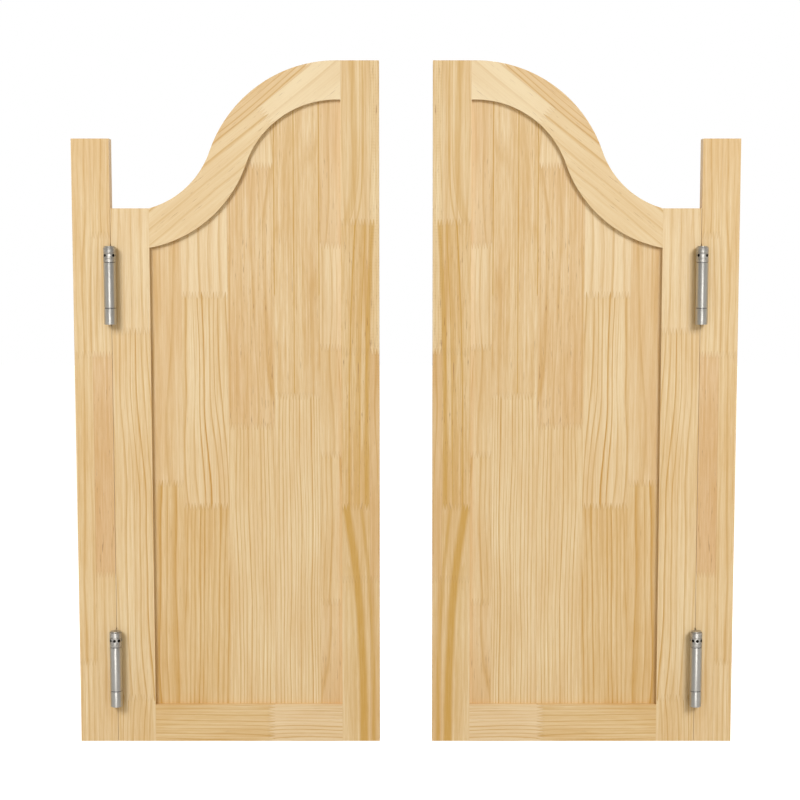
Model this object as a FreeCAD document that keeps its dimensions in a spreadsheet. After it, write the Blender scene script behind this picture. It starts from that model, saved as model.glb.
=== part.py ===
import FreeCAD
import Part
import Sketcher
import os

# A pair of cafe swinging doors: two pine frame-and-panel leaves with an S-shaped top,
# each hung on a plain jamb strip with two double-action spring hinges.
#
# Frame: +Z up, +X to the right, the front faces -Y. The origin is on the line between the
# leaves, at mid thickness, level with their bottom edges. The right-hand side is modelled
# and the left-hand side is its mirror image.
#
# Wooden pieces lie in the leaf frame: "u" runs from the leaf's meeting edge towards its
# hinges and z runs up. Hinge pieces lie in the seam frame, whose z axis stands in the
# middle of the seam between leaf and jamb strip. The front barrel belongs to the jamb
# strip and the back barrel to the leaf. The web joins the two barrels.

Vector = FreeCAD.Vector
doc = FreeCAD.newDocument("cafe_swinging_doors")

# Driving dimensions, millimetres

sizes = [
    ("board_thickness", 18, "every pine board"),
    ("jamb_width", 49, "jamb strip, across its face"),
    ("jamb_height", 800, "jamb strip"),
    ("seam_gap", 1.2, "between jamb strip and leaf"),
    ("meeting_gap", 70, "between the two leaves"),
    ("leaf_width", 350, "one leaf"),
    ("leaf_height", 900, "leaf at its meeting stile"),
    ("shoulder_height", 710, "leaf at its hinge stile"),
    ("hinge_stile_width", 50, ""),
    ("meeting_stile_width", 50, ""),
    ("bottom_rail_height", 50, ""),
    ("top_rail_width", 50, "constant along the S"),
    ("crest_flat", 5.7, "level stretch of the top beside the meeting stile"),
    ("crest_radius", 174.5, "convex arc of the top edge"),
    ("scoop_radius", 117, "concave arc of the top edge"),
    ("panel_thickness", 7, ""),
    ("groove_depth", 8, "panel groove in stiles and rails"),
    ("groove_fit", 0.1, "each side of the panel in its groove"),
    ("panel_play", 0.5, "between the panel's edge and the groove's floor"),
    ("first_stave_width", 28, "part that shows, beside the meeting stile"),
    ("last_stave_width", 40.5, "part that shows, beside the hinge stile"),
    ("hinge_height", 102, "one hinge from foot to cap"),
    ("lower_hinge_height", 50, "its foot above the leaf's bottom edge"),
    ("upper_hinge_drop", 49, "its cap below the leaf's shoulder"),
    ("barrel_diameter", 16, ""),
    ("barrel_clearance", 0.25, "between barrels and boards"),
    ("plate_thickness", 1.5, "sheet of flanges and barrels"),
    ("web_thickness", 0.8, "plate between the two barrels"),
    ("flange_width", 15, "part of a flange that lies in its mortise"),
    ("mortise_fit", 0.2, "round a flange"),
    ("foot_height", 21, "knuckle at the foot of a barrel, part of the web"),
    ("foot_gap", 0.9, "between a foot and the tube that turns on it"),
    ("head_gap", 0.6, "between a tube and the spindle's head"),
    ("head_height", 12, "socketed head of a tension spindle"),
    ("cap_height", 9, ""),
    ("running_gap", 0.3, "between the web and what it passes"),
    ("nest_fit", 0.1, "radial clearance of a spring inside its tube and round its spindle"),
    ("spring_wire", 1.7, ""),
    ("spring_end_gap", 0.3, "at each end of a spring"),
    ("socket_width", 3.6, "sockets for the tension bar, round a spindle's head"),
    ("socket_depth", 2.6, ""),
    ("socket_rise", 8.9, "their middle above the head's underside"),
    ("socket_count", 8, "in one head"),
]

sheet = doc.addObject("Spreadsheet::Sheet", "dims")
for row, (size, number, note) in enumerate(sizes, start=1):
    sheet.set(f"A{row}", size)
    sheet.set(f"B{row}", str(number))
    sheet.set(f"C{row}", note)
    sheet.setAlias(f"B{row}", size)
doc.recompute()

# Places worked out from them

places = doc.addObject("App::VarSet", "places")


def work_out(name, formula):
    places.addProperty("App::PropertyFloat", name, "Places")
    places.setExpression(name, formula)
    doc.recompute([places])


# top edge: a crest arc and a scoop arc, tangent to each other, ending at the shoulder's corner
work_out("crest_u", "dims.meeting_stile_width + dims.crest_flat")
work_out("crest_z", "dims.leaf_height - dims.crest_radius")
work_out("stile_u", "dims.leaf_width - dims.hinge_stile_width")
work_out("run", "places.stile_u - places.crest_u")
work_out("fall", "places.crest_z - dims.shoulder_height")
work_out("span", "sqrt(places.run ^ 2 + places.fall ^ 2)")
work_out("centre_distance", "dims.crest_radius + dims.scoop_radius")
work_out("along", "(places.centre_distance ^ 2 - dims.scoop_radius ^ 2 + places.span ^ 2) / 2 / places.span")
work_out("across", "sqrt(places.centre_distance ^ 2 - places.along ^ 2)")
work_out("scoop_u", "places.crest_u"
         " + (places.along * places.run + places.across * places.fall) / places.span")
work_out("scoop_z", "places.crest_z"
         " + (places.across * places.run - places.along * places.fall) / places.span")

# boards
work_out("leaf_x", "dims.meeting_gap / 2")
work_out("seam_x", "places.leaf_x + dims.leaf_width + dims.seam_gap / 2")
work_out("edge", "dims.seam_gap / 2")
work_out("face", "dims.board_thickness / 2")
work_out("tongue_reach", "dims.groove_depth - dims.panel_play")
work_out("full_stave_width", "(places.stile_u - dims.meeting_stile_width - dims.first_stave_width"
         " - dims.last_stave_width) / 3")

# hinges
work_out("hinge_pitch", "dims.shoulder_height - dims.upper_hinge_drop - dims.hinge_height"
         " - dims.lower_hinge_height")
work_out("barrel_radius", "dims.barrel_diameter / 2")
work_out("bore_radius", "places.barrel_radius - dims.plate_thickness")
work_out("coil_radius", "places.bore_radius - dims.nest_fit")
work_out("spindle_radius", "places.coil_radius - dims.spring_wire - dims.nest_fit")
work_out("axis_y", "places.face + dims.barrel_clearance + places.barrel_radius")
work_out("tube_bottom", "dims.foot_height + dims.foot_gap")
work_out("head_top", "dims.hinge_height - dims.cap_height")
work_out("head_bottom", "places.head_top - dims.head_height")
work_out("tube_top", "places.head_bottom - dims.head_gap")
work_out("tube_length", "places.tube_top - places.tube_bottom")
work_out("flange_y", "dims.flange_width - places.face")

# Sketches and features whose sizes are expressions


def value(expression):
    return float(sheet.evalExpression(expression))


def origin_feature(body, role):
    return next(item for item in body.Origin.OriginFeatures if item.Role == role)


def new_body(label, x, z="0", turned=False):
    body = doc.addObject("PartDesign::Body", label)
    body.Label = label
    if turned:
        body.Placement.Rotation = FreeCAD.Rotation(Vector(0, 0, 1), 180)
    body.setExpression(".Placement.Base.x", x)
    body.setExpression(".Placement.Base.z", z)
    return body


def new_sketch(body, name, role, offset="0"):
    sketch = body.newObject("Sketcher::SketchObject", f"{body.Name}_{name}")
    sketch.AttachmentSupport = [(origin_feature(body, role), "")]
    sketch.MapMode = "FlatFace"
    sketch.setExpression(".AttachmentOffset.Base.z", offset)
    return sketch


def bind(sketch, kind, *members, expression):
    index = sketch.addConstraint(Sketcher.Constraint(kind, *members, value(expression)))
    sketch.renameConstraint(index, f"{kind}_{index}")
    sketch.setExpression(f"Constraints.{kind}_{index}", expression)


def fix_point(sketch, edge, point, x, y):
    bind(sketch, "DistanceX", -1, 1, edge, point, expression=x)
    bind(sketch, "DistanceY", -1, 1, edge, point, expression=y)


def polygon(sketch, corners):
    points = [Vector(value(x), value(y), 0) for x, y in corners]
    first = sketch.GeometryCount
    for start, end in zip(points, points[1:] + points[:1]):
        sketch.addGeometry(Part.LineSegment(start, end))
    for number, (x, y) in enumerate(corners):
        before = first + (number - 1) % len(corners)
        sketch.addConstraint(Sketcher.Constraint("Coincident", before, 2, first + number, 1))
        fix_point(sketch, first + number, 1, x, y)


def rectangle(sketch, left, bottom, right, top):
    polygon(sketch, [(left, bottom), (right, bottom), (right, top), (left, top)])


def circle(sketch, x, y, radius):
    centre = Vector(value(x), value(y), 0)
    edge = sketch.addGeometry(Part.Circle(centre, Vector(0, 0, 1), value(radius)))
    fix_point(sketch, edge, 3, x, y)
    bind(sketch, "Radius", edge, expression=radius)


def s_curve(sketch, left, right, inset):
    """The top edge's line, moved inwards, from u = left to u = right: a level line and two arcs."""
    crest = Vector(places.crest_u, places.crest_z, 0)
    scoop = Vector(places.scoop_u, places.scoop_z, 0)
    crest_radius = value(f"dims.crest_radius - ({inset})")
    scoop_radius = value(f"dims.scoop_radius + ({inset})")
    toward = (scoop - crest).normalize()
    bend = crest + toward * crest_radius
    top = crest + Vector(0, crest_radius, 0)
    reach = value(right) - scoop.x
    end = scoop + Vector(reach, -((scoop_radius**2 - reach**2) ** 0.5), 0)

    level = sketch.addGeometry(Part.LineSegment(Vector(value(left), top.y, 0), top))
    crest_middle = crest + (Vector(0, 1, 0) + toward).normalize() * crest_radius
    crest_arc = sketch.addGeometry(Part.Arc(top, crest_middle, bend))
    scoop_middle = scoop + ((bend - scoop).normalize() + (end - scoop).normalize()).normalize() * scoop_radius
    scoop_arc = sketch.addGeometry(Part.Arc(bend, scoop_middle, end))

    # an arc runs anticlockwise, so the crest starts at the bend and the scoop also starts there
    sketch.addConstraint(Sketcher.Constraint("Horizontal", level))
    bind(sketch, "DistanceX", -1, 1, level, 1, expression=left)
    sketch.addConstraint(Sketcher.Constraint("Tangent", level, 2, crest_arc, 2))
    fix_point(sketch, crest_arc, 3, "places.crest_u", "places.crest_z")
    bind(sketch, "Radius", crest_arc, expression=f"dims.crest_radius - ({inset})")
    sketch.addConstraint(Sketcher.Constraint("Tangent", crest_arc, 1, scoop_arc, 1))
    fix_point(sketch, scoop_arc, 3, "places.scoop_u", "places.scoop_z")
    bind(sketch, "DistanceX", -1, 1, scoop_arc, 2, expression=right)
    return level, scoop_arc


def join(sketch, start, end):
    """A straight edge between two free ends, each given as (edge, point)."""
    edge = sketch.addGeometry(Part.LineSegment(sketch.getPoint(*start), sketch.getPoint(*end)))
    sketch.addConstraint(Sketcher.Constraint("Coincident", edge, 1, *start))
    sketch.addConstraint(Sketcher.Constraint("Coincident", edge, 2, *end))


def extrude(kind, sketch, length, symmetric, backwards):
    body = sketch.getParentGeoFeatureGroup()
    feature = body.newObject(kind, f"{sketch.Name}_{kind.split('::')[1].lower()}")
    feature.Profile = sketch
    feature.setExpression("Length", length)
    feature.SideType = "Symmetric" if symmetric else "One side"
    feature.Reversed = backwards
    doc.recompute()
    return feature


def pad(sketch, length, symmetric=False):
    extrude("PartDesign::Pad", sketch, length, symmetric, backwards=False)


def cut(sketch, length, symmetric=False, backwards=False):
    body = sketch.getParentGeoFeatureGroup()
    uncut = body.Shape.Volume
    feature = extrude("PartDesign::Pocket", sketch, length, symmetric, backwards)
    if not body.Shape.Volume < uncut:
        raise RuntimeError(f"{sketch.Name} cuts nothing")
    return feature


# Wooden pieces


def mortises(body, edge, side, backwards):
    """Pockets in a board's edge for the flanges of both hinges, open to the front or to the back."""
    sketch = new_sketch(body, "mortises", "YZ_Plane", edge)
    for rise in ("0", "places.hinge_pitch"):
        foot = f"dims.lower_hinge_height + {rise}"
        rectangle(sketch, f"-({side}) * dims.board_thickness",
                  f"{foot} + places.tube_bottom - dims.mortise_fit",
                  f"({side}) * (places.flange_y + dims.mortise_fit)",
                  f"{foot} + places.tube_top + dims.mortise_fit")
    cut(sketch, "dims.plate_thickness", backwards=backwards)


def groove(body, left, bottom, right, top):
    sketch = new_sketch(body, "groove", "XZ_Plane")
    rectangle(sketch, left, bottom, right, top)
    cut(sketch, "dims.panel_thickness + 2 * dims.groove_fit", symmetric=True)


def jamb_strip():
    body = new_body("right_jamb_strip", x="places.seam_x")
    outline = new_sketch(body, "outline", "XZ_Plane")
    rectangle(outline, "places.edge", "0", "places.edge + dims.jamb_width", "dims.jamb_height")
    pad(outline, "dims.board_thickness", symmetric=True)
    mortises(body, "places.edge", side="1", backwards=True)
    return body


def hinge_stile():
    body = new_body("right_hinge_stile", x="places.leaf_x")
    outline = new_sketch(body, "outline", "XZ_Plane")
    rectangle(outline, "places.stile_u", "0", "dims.leaf_width", "dims.shoulder_height")
    pad(outline, "dims.board_thickness", symmetric=True)
    groove(body, "places.stile_u", "0", "places.stile_u + dims.groove_depth", "dims.shoulder_height")
    mortises(body, "dims.leaf_width", side="-1", backwards=False)
    return body


def meeting_stile():
    body = new_body("right_meeting_stile", x="places.leaf_x")
    outline = new_sketch(body, "outline", "XZ_Plane")
    rectangle(outline, "0", "0", "dims.meeting_stile_width", "dims.leaf_height")
    pad(outline, "dims.board_thickness", symmetric=True)
    groove(body, "dims.meeting_stile_width - dims.groove_depth", "0",
           "dims.meeting_stile_width", "dims.leaf_height")
    return body


def bottom_rail():
    """A rail with a tongue at each end, in the stiles' grooves, and the panel's groove on top."""
    body = new_body("right_bottom_rail", x="places.leaf_x")
    outline = new_sketch(body, "outline", "XZ_Plane")
    rectangle(outline, "dims.meeting_stile_width", "0", "places.stile_u", "dims.bottom_rail_height")
    pad(outline, "dims.board_thickness", symmetric=True)
    groove_floor = "dims.bottom_rail_height - dims.groove_depth"
    tongues = new_sketch(body, "tongues", "XZ_Plane")
    rectangle(tongues, "dims.meeting_stile_width - places.tongue_reach", "0",
              "places.stile_u + places.tongue_reach", groove_floor)
    pad(tongues, "dims.panel_thickness", symmetric=True)
    groove(body, "dims.meeting_stile_width", groove_floor, "places.stile_u", "dims.bottom_rail_height")
    return body


def top_rail():
    """A band of constant width along the S, with a tongue at each end and a groove below."""
    body = new_body("right_top_rail", x="places.leaf_x")
    left = "dims.meeting_stile_width"
    right = "places.stile_u"
    band = new_sketch(body, "band", "XZ_Plane")
    upper_level, upper_scoop = s_curve(band, left, right, "0")
    lower_level, lower_scoop = s_curve(band, left, right, "dims.top_rail_width")
    join(band, (upper_level, 1), (lower_level, 1))
    join(band, (upper_scoop, 2), (lower_scoop, 2))
    pad(band, "dims.board_thickness", symmetric=True)

    floor = "dims.top_rail_width - dims.groove_depth"
    scoop_floor = (f"places.scoop_z - sqrt((dims.scoop_radius + {floor}) ^ 2"
                   " - (places.stile_u - places.scoop_u) ^ 2)")
    tongues = new_sketch(body, "tongues", "XZ_Plane")
    rectangle(tongues, f"{left} - places.tongue_reach", f"dims.leaf_height - ({floor})",
              "places.crest_u", "dims.leaf_height")
    rectangle(tongues, f"{right} - places.tongue_reach", scoop_floor,
              f"{right} + places.tongue_reach", "dims.shoulder_height")
    pad(tongues, "dims.panel_thickness", symmetric=True)

    channel = new_sketch(body, "channel", "XZ_Plane")
    floor_level, floor_scoop = s_curve(channel, left, right, floor)
    mouth_level, mouth_scoop = s_curve(channel, left, right, "dims.top_rail_width + dims.groove_depth")
    join(channel, (floor_level, 1), (mouth_level, 1))
    join(channel, (floor_scoop, 2), (mouth_scoop, 2))
    cut(channel, "dims.panel_thickness + 2 * dims.groove_fit", symmetric=True)
    return body


def panel_staves():
    """The panel's outline cut into five upright staves, glued edge to edge."""
    panel = new_body("right_panel", x="places.leaf_x")
    outline = new_sketch(panel, "outline", "XZ_Plane")
    left = "dims.meeting_stile_width - places.tongue_reach"
    right = "places.stile_u + places.tongue_reach"
    level, scoop = s_curve(outline, left, right, "dims.top_rail_width - places.tongue_reach")
    bottom_z = "dims.bottom_rail_height - places.tongue_reach"
    bottom = outline.addGeometry(Part.LineSegment(Vector(value(left), value(bottom_z), 0),
                                                  Vector(value(right), value(bottom_z), 0)))
    fix_point(outline, bottom, 1, left, bottom_z)
    fix_point(outline, bottom, 2, right, bottom_z)
    join(outline, (level, 1), (bottom, 1))
    join(outline, (scoop, 2), (bottom, 2))
    pad(outline, "dims.panel_thickness", symmetric=True)

    first_seam = "dims.meeting_stile_width + dims.first_stave_width"
    seams = [f"{first_seam} + {number} * places.full_stave_width" for number in range(4)]
    staves = []
    for number, (start, end) in enumerate(zip([left] + seams, seams + [right]), start=1):
        strip = doc.addObject("Part::Box", f"strip_{number}")
        strip.setExpression("Length", f"{end} - ({start})")
        strip.setExpression("Width", "dims.board_thickness")
        strip.setExpression("Height", "dims.leaf_height")
        strip.setExpression(".Placement.Base.x", f"places.leaf_x + {start}")
        strip.setExpression(".Placement.Base.y", "-places.face")
        stave = doc.addObject("Part::Common", f"right_panel_stave_{number}")
        stave.Base = panel
        stave.Tool = strip
        staves.append(stave)
    return staves


# Hinge pieces. In the seam frame the front barrel stands at y = -axis_y and the back one at
# +axis_y. Each body is made on the lower hinge and then repeated for the upper one.


def hinge_body(label, turned=False):
    return new_body(label, x="places.seam_x", z="dims.lower_hinge_height", turned=turned)


def repeat(body, both_barrels=False):
    """Copies of the whole body: on the back barrel, if asked, and on the upper hinge."""
    if both_barrels:
        pair = body.newObject("PartDesign::PolarPattern", f"{body.Name}_pair")
        pair.TransformMode = "Whole shape"
        pair.Axis = (origin_feature(body, "Z_Axis"), "")
        pair.Occurrences = 2
        body.Tip = pair
        doc.recompute()
    rise = body.newObject("PartDesign::LinearPattern", f"{body.Name}_rise")
    rise.TransformMode = "Whole shape"
    rise.Direction = (origin_feature(body, "Z_Axis"), "")
    rise.Occurrences = 2
    rise.setExpression("Length", "places.hinge_pitch")
    body.Tip = rise
    doc.recompute()


def flanges(label, turned):
    """A barrel's tube with the plate that lies in a board's edge."""
    body = hinge_body(label, turned)
    barrel = new_sketch(body, "barrel", "XY_Plane", "places.tube_bottom")
    circle(barrel, "0", "-places.axis_y", "places.barrel_radius")
    pad(barrel, "places.tube_length")
    plate = new_sketch(body, "plate", "XY_Plane", "places.tube_bottom")
    rectangle(plate, "places.edge", "-places.axis_y", "places.edge + dims.plate_thickness", "places.flange_y")
    pad(plate, "places.tube_length")
    bore = new_sketch(body, "bore", "XY_Plane", "places.tube_bottom")
    circle(bore, "0", "-places.axis_y", "places.bore_radius")
    cut(bore, "places.tube_length", backwards=True)
    repeat(body)
    return body


def webs():
    """The plate that joins the two barrels, with a knuckle at the foot of each."""
    body = hinge_body("right_webs")
    plate = new_sketch(body, "plate", "XY_Plane")
    rectangle(plate, "-dims.web_thickness / 2", "-places.axis_y", "dims.web_thickness / 2", "places.axis_y")
    pad(plate, "places.head_top")
    cutback = new_sketch(body, "cutback", "XY_Plane", "dims.foot_height")
    feet = new_sketch(body, "feet", "XY_Plane")
    for barrel_y in ("-places.axis_y", "places.axis_y"):
        circle(cutback, "0", barrel_y, "places.barrel_radius + dims.running_gap")
        circle(feet, "0", barrel_y, "places.barrel_radius")
    cut(cutback, "places.head_top - dims.foot_height", backwards=True)
    pad(feet, "dims.foot_height")
    repeat(body)
    return body


def lathe(body, corners):
    """A profile turned about the front barrel's axis, given as (radius, height) corners."""
    profile = new_sketch(body, "profile", "XZ_Plane", "places.axis_y")
    polygon(profile, corners)
    feature = body.newObject("PartDesign::Revolution", f"{body.Name}_turned")
    feature.Profile = profile
    feature.ReferenceAxis = (profile, ["V_Axis"])
    feature.Angle = 360
    doc.recompute()
    return profile


def springs(label, turned):
    """Close-wound coils, as the sleeve that they fill between spindle and tube."""
    body = hinge_body(label, turned)
    inner = "places.coil_radius - dims.spring_wire"
    bottom = "places.tube_bottom + dims.spring_end_gap"
    outer = "places.coil_radius"
    top = "places.tube_top - dims.spring_end_gap"
    lathe(body, [(inner, bottom), (outer, bottom), (outer, top), (inner, top)])
    repeat(body)
    return body


def tension_spindles():
    """A rod that stands on a foot inside the spring, with a head of sockets for winding it up."""
    body = hinge_body("right_tension_spindles")
    profile = lathe(body, [("0", "dims.foot_height"), ("places.spindle_radius", "dims.foot_height"),
                           ("places.spindle_radius", "places.head_bottom"),
                           ("places.barrel_radius", "places.head_bottom"),
                           ("places.barrel_radius", "places.head_top"), ("0", "places.head_top")])
    socket = new_sketch(body, "socket", "XZ_Plane", "places.axis_y + places.barrel_radius")
    middle = "places.head_bottom + dims.socket_rise"
    rectangle(socket, "-dims.socket_width / 2", f"{middle} - dims.socket_width / 2",
              "dims.socket_width / 2", f"{middle} + dims.socket_width / 2")
    ring = body.newObject("PartDesign::PolarPattern", "socket_ring")
    ring.Originals = [cut(socket, "dims.socket_depth")]
    ring.Axis = (profile, ["V_Axis"])
    ring.setExpression("Occurrences", "dims.socket_count")
    body.Tip = ring
    doc.recompute()
    repeat(body, both_barrels=True)
    return body


def barrel_caps():
    body = hinge_body("right_barrel_caps")
    lathe(body, [("0", "places.head_top"), ("places.barrel_radius", "places.head_top"),
                 ("places.barrel_radius", "dims.hinge_height"), ("0", "dims.hinge_height")])
    repeat(body, both_barrels=True)
    return body


right_pieces = [jamb_strip(), hinge_stile(), meeting_stile(), top_rail(), bottom_rail(), *panel_staves()]
right_pieces += [flanges("right_jamb_flanges", turned=False), flanges("right_door_flanges", turned=True)]
right_pieces += [springs("right_jamb_springs", turned=False), springs("right_door_springs", turned=True)]
right_pieces += [webs(), tension_spindles(), barrel_caps()]

left_pieces = []
for piece in right_pieces:
    mirrored = doc.addObject("Part::Mirroring", piece.Name.replace("right", "left", 1))
    mirrored.Source = piece
    mirrored.Normal = Vector(1, 0, 0)
    left_pieces.append(mirrored)
doc.recompute()

# Checks, then one file for each piece

for item in doc.Objects:
    if "Invalid" in item.State or "Error" in item.State:
        raise RuntimeError(f"{item.Label} failed: {item.State}")
for piece in right_pieces + left_pieces:
    if piece.Shape.isNull() or not piece.Shape.isValid() or not piece.Shape.Solids:
        raise RuntimeError(f"{piece.Label} has no valid solid")

os.makedirs("parts", exist_ok=True)
for piece in right_pieces + left_pieces:
    piece.Shape.exportStep(f"parts/{piece.Label}.step")
    print(piece.Label, len(piece.Shape.Solids), round(piece.Shape.Volume))
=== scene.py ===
from math import cos, pi, radians, sin

import bmesh
import bpy
from mathutils import Matrix, Vector


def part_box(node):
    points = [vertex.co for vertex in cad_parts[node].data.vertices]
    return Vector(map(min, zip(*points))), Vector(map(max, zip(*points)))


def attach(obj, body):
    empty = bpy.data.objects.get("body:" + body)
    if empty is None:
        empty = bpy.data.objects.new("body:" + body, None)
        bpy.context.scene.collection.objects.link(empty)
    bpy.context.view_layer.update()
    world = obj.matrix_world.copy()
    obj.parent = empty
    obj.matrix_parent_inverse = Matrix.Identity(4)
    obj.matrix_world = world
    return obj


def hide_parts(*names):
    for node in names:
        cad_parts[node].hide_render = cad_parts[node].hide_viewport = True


# A pair of cafe swinging doors: pine frame-and-panel leaves on double-action spring hinges.
# Every board and hinge piece is made for both sides by the same code. The left side is the
# mirror image of the right one, and the pine patterns read the distance from the middle, so
# the two leaves match.

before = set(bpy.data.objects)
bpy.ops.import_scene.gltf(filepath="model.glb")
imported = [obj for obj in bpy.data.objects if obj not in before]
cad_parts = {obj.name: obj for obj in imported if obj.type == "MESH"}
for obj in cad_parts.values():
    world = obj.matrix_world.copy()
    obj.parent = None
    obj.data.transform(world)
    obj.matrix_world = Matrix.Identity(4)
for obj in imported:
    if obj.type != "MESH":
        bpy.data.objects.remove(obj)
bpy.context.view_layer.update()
scene = bpy.context.scene
mm = 0.001
sides = {"left": -1, "right": 1}
made = {side: [] for side in sides}


# Meshes

def finishPiece(name, shape, body, material, nodes=(), smoothBelow=25):
    # closes a bmesh into a piece that rides its body; edges flatter than the angle are smooth
    bmesh.ops.remove_doubles(shape, verts=shape.verts, dist=1e-7)
    bmesh.ops.recalc_face_normals(shape, faces=shape.faces)
    for face in shape.faces:
        face.smooth = True
    for edge in shape.edges:
        edge.smooth = edge.is_manifold and edge.calc_face_angle(pi) < radians(smoothBelow)
    mesh = bpy.data.meshes.new(name)
    shape.to_mesh(mesh)
    shape.free()
    piece = bpy.data.objects.new(name, mesh)
    scene.collection.objects.link(piece)
    mesh.materials.append(material)
    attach(piece, body)
    if nodes:
        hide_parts(*nodes)
    made[name.partition("_")[0]].append(piece)


def easeEdges(shape, edges, width, segments=2):
    bmesh.ops.bevel(shape, geom=list(edges), offset=width, offset_type="OFFSET", affect="EDGES",
                    segments=segments, profile=0.5, material=-1, clamp_overlap=True)


def turned(profile, centre, steps=64):
    # a closed solid turned about an upright axis; the profile is (radius, height) corners in mm,
    # and its ends lie on the axis
    shape = bmesh.new()
    points = [shape.verts.new((radius * mm, 0, height * mm)) for radius, height in profile]
    edges = [shape.edges.new(pair) for pair in zip(points, points[1:])]
    bmesh.ops.spin(shape, geom=points + edges, cent=(0, 0, 0), axis=(0, 0, 1), angle=2 * pi, steps=steps,
                   use_merge=True)
    bmesh.ops.remove_doubles(shape, verts=shape.verts, dist=1e-7)
    bmesh.ops.recalc_face_normals(shape, faces=shape.faces)
    bmesh.ops.translate(shape, vec=centre, verts=shape.verts)
    return shape


def ringTurned(profile, centre, steps=64):
    # the same for a profile that closes on itself, such as a tube's wall
    return turned(profile + profile[:1], centre, steps)


def joinShapes(shapes):
    # several bmeshes gathered into the first
    first = shapes[0]
    for other in shapes[1:]:
        carrier = bpy.data.meshes.new("carrier")
        other.to_mesh(carrier)
        other.free()
        first.from_mesh(carrier)
        bpy.data.meshes.remove(carrier)
    return first


def block(low, high, ease=0):
    shape = bmesh.new()
    bmesh.ops.create_cube(shape, size=1)
    size = Vector(high) - Vector(low)
    bmesh.ops.scale(shape, vec=size, verts=shape.verts)
    bmesh.ops.translate(shape, vec=(Vector(low) + Vector(high)) / 2, verts=shape.verts)
    if ease:
        easeEdges(shape, shape.edges, ease)
    return shape


def cutAway(shape, cutters):
    # takes the closed cutters out of a closed shape
    holders = []
    for label, part in (("blank", shape), ("cutter", joinShapes(cutters))):
        mesh = bpy.data.meshes.new(label)
        part.to_mesh(mesh)
        part.free()
        holder = bpy.data.objects.new(label, mesh)
        scene.collection.objects.link(holder)
        holders.append(holder)
    blank, cutter = holders
    difference = blank.modifiers.new("cut", "BOOLEAN")
    difference.operation = "DIFFERENCE"
    difference.solver = "EXACT"
    difference.object = cutter
    bpy.context.view_layer.update()
    result = bpy.data.meshes.new_from_object(blank.evaluated_get(bpy.context.evaluated_depsgraph_get()))
    cut = bmesh.new()
    cut.from_mesh(result)
    for holder in holders:
        mesh = holder.data
        bpy.data.objects.remove(holder)
        bpy.data.meshes.remove(mesh)
    bpy.data.meshes.remove(result)
    return cut


def rod(radius, start, end, segments=24):
    # a closed round bar between two points
    start, end = Vector(start), Vector(end)
    shape = bmesh.new()
    bmesh.ops.create_cone(shape, cap_ends=True, segments=segments, radius1=radius, radius2=radius,
                          depth=(end - start).length)
    turn = (end - start).to_track_quat("Z", "Y").to_matrix()
    bmesh.ops.rotate(shape, cent=(0, 0, 0), matrix=turn, verts=shape.verts)
    bmesh.ops.translate(shape, vec=(start + end) / 2, verts=shape.verts)
    return shape


# Node materials

class Signal:
    # a shader socket that takes part in Python expressions
    def __init__(self, finish, socket):
        self.finish = finish
        self.socket = socket

    def joined(self, operation, *values):
        return self.finish.add("ShaderNodeMath", {"operation": operation}, dict(enumerate(values)))

    def __add__(self, other):
        return self.joined("ADD", self, other)

    def __radd__(self, other):
        return self.joined("ADD", other, self)

    def __sub__(self, other):
        return self.joined("SUBTRACT", self, other)

    def __rsub__(self, other):
        return self.joined("SUBTRACT", other, self)

    def __mul__(self, other):
        return self.joined("MULTIPLY", self, other)

    def __rmul__(self, other):
        return self.joined("MULTIPLY", other, self)

    def __truediv__(self, other):
        return self.joined("DIVIDE", self, other)

    def __pow__(self, other):
        return self.joined("POWER", self, other)

    def __lt__(self, other):
        return self.joined("LESS_THAN", self, other)

    def __gt__(self, other):
        return self.joined("GREATER_THAN", self, other)

    def __abs__(self):
        return self.joined("ABSOLUTE", self)


class Nodes:
    # makes and joins the nodes of one tree, a material's or the world's
    def __init__(self, tree):
        self.tree = tree

    def add(self, kind, settings=None, values=None, output=0):
        # makes a node: its settings first, then the values or links of its sockets
        node = self.tree.nodes.new(kind)
        for name, setting in (settings or {}).items():
            setattr(node, name, setting)
        for name, value in (values or {}).items():
            self.feed(node.inputs[name], value)
        return Signal(self, node.outputs[output])

    def feed(self, socket, value):
        if isinstance(value, Signal):
            self.tree.links.new(value.socket, socket)
        else:
            socket.default_value = value

    def split(self, vector):
        parts = self.add("ShaderNodeSeparateXYZ", None, {0: vector}).socket.node
        return [Signal(self, socket) for socket in parts.outputs]

    def vector(self, x, y, z):
        return self.add("ShaderNodeCombineXYZ", None, {0: x, 1: y, 2: z})

    def noise(self, place, detail=2, roughness=0.5):
        return self.add("ShaderNodeTexNoise", {"noise_dimensions": "3D"},
                        {"Vector": place, "Scale": 1, "Detail": detail, "Roughness": roughness})

    def mixVector(self, share, first, second):
        return self.add("ShaderNodeMix", {"data_type": "VECTOR"}, {0: share, 4: first, 5: second}, output=1)

    def mixColor(self, share, first, second):
        return self.add("ShaderNodeMix", {"data_type": "RGBA"}, {0: share, 6: first, 7: second}, output=2)

    def clamp(self, value):
        return self.add("ShaderNodeClamp", None, {0: value})


class Finish(Nodes):
    # a procedural material on one Principled shader
    def __init__(self, name):
        self.material = bpy.data.materials.new(name)
        self.material.use_nodes = True
        super().__init__(self.material.node_tree)
        self.shader = self.tree.nodes["Principled BSDF"]

    def set(self, **values):
        for name, value in values.items():
            self.feed(self.shader.inputs[name.replace("_", " ")], value)

    def objectPlace(self):
        # the Object coordinates in millimetres, as three signals
        place = self.add("ShaderNodeTexCoord", output="Object")
        scaled = self.add("ShaderNodeVectorMath", {"operation": "SCALE"}, {0: place, "Scale": 1 / mm})
        return self.split(scaled)

    def bump(self, height, distance, strength=1):
        return self.add("ShaderNodeBump", None,
                        {"Height": height, "Distance": distance, "Strength": strength})


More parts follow.
